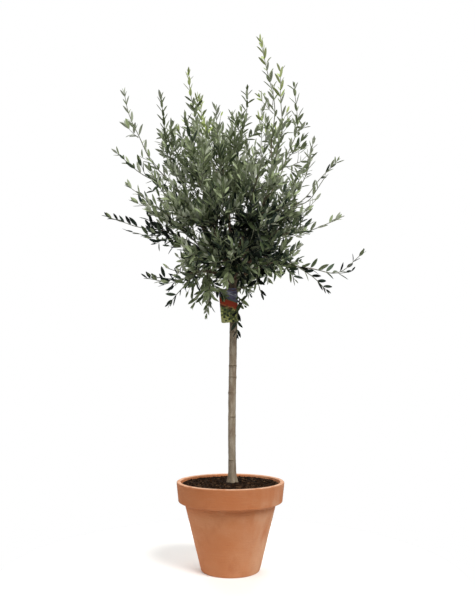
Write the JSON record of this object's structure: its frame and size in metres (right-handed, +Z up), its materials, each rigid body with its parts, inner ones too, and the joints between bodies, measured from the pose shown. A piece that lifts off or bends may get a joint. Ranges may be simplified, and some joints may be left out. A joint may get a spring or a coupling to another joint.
{
  "type": "potted olive tree",
  "caption": "Small standard olive tree: slim bare trunk, open feathery crown of narrow grey-green leaves, in a tapered terracotta pot with a deep collar.",
  "frame": {"origin": "centre of the pot's flat underside, on the surface that it stands on", "axes": "+Z up along the trunk, -Y towards the front, where the label hangs, +X to the right"},
  "size_m": [0.8019, 0.6461, 1.6436],
  "materials": {
    "terracotta": "matte",
    "soil": "matte",
    "bark": "matte",
    "foliage": "matte",
    "label": "satin"
  },
  "bodies": {
    "root": {"pot": "terracotta", "soil": "soil", "trunk": "bark", "label": "label", "bough_leader": "bark", "bough_front_right": "bark", "bough_back_left": "bark", "bough_right_high": "bark", "bough_left_high": "bark", "bough_back_right": "bark", "bough_front_left": "bark", "bough_right": "bark", "bough_left_low": "bark", "bough_front": "bark", "bough_back": "bark", "bough_right_low": "bark", "bough_left_lowest": "bark", "spray_top_left": "foliage", "spray_top_front": "foliage", "spray_top_back": "foliage", "spray_front_right_high": "foliage", "spray_front_right_wide": "foliage", "spray_front_right_mid": "foliage", "spray_back_left_high": "foliage", "spray_back_left_wide": "foliage", "spray_back_top": "foliage", "spray_right_tallest": "foliage", "spray_right_tall_inner": "foliage", "spray_right_tall_outer": "foliage", "spray_left_arc": "foliage", "spray_left_tall": "foliage", "spray_left_high_arm": "foliage", "spray_back_right_high": "foliage", "spray_back_right_wide": "foliage", "spray_back_right_low": "foliage", "spray_front_left_high": "foliage", "spray_front_left_wide": "foliage", "spray_front_middle": "foliage", "spray_right_upper": "foliage", "spray_right_high_arm": "foliage", "spray_right_arm": "foliage", "spray_left_short": "foliage", "spray_left_arm": "foliage", "spray_left_low_arm": "foliage", "spray_front_low": "foliage", "spray_front_right_low": "foliage", "spray_front_left_low": "foliage", "spray_back_wide": "foliage", "spray_back_low": "foliage", "spray_back_left_low": "foliage", "spray_right_low_arm": "foliage", "spray_right_hanging": "foliage", "spray_front_hanging": "foliage", "spray_left_hanging": "foliage", "spray_left_drooping": "foliage", "spray_left_low": "foliage", "sprout_on_trunk": "foliage"}
  },
  "joints": []
}
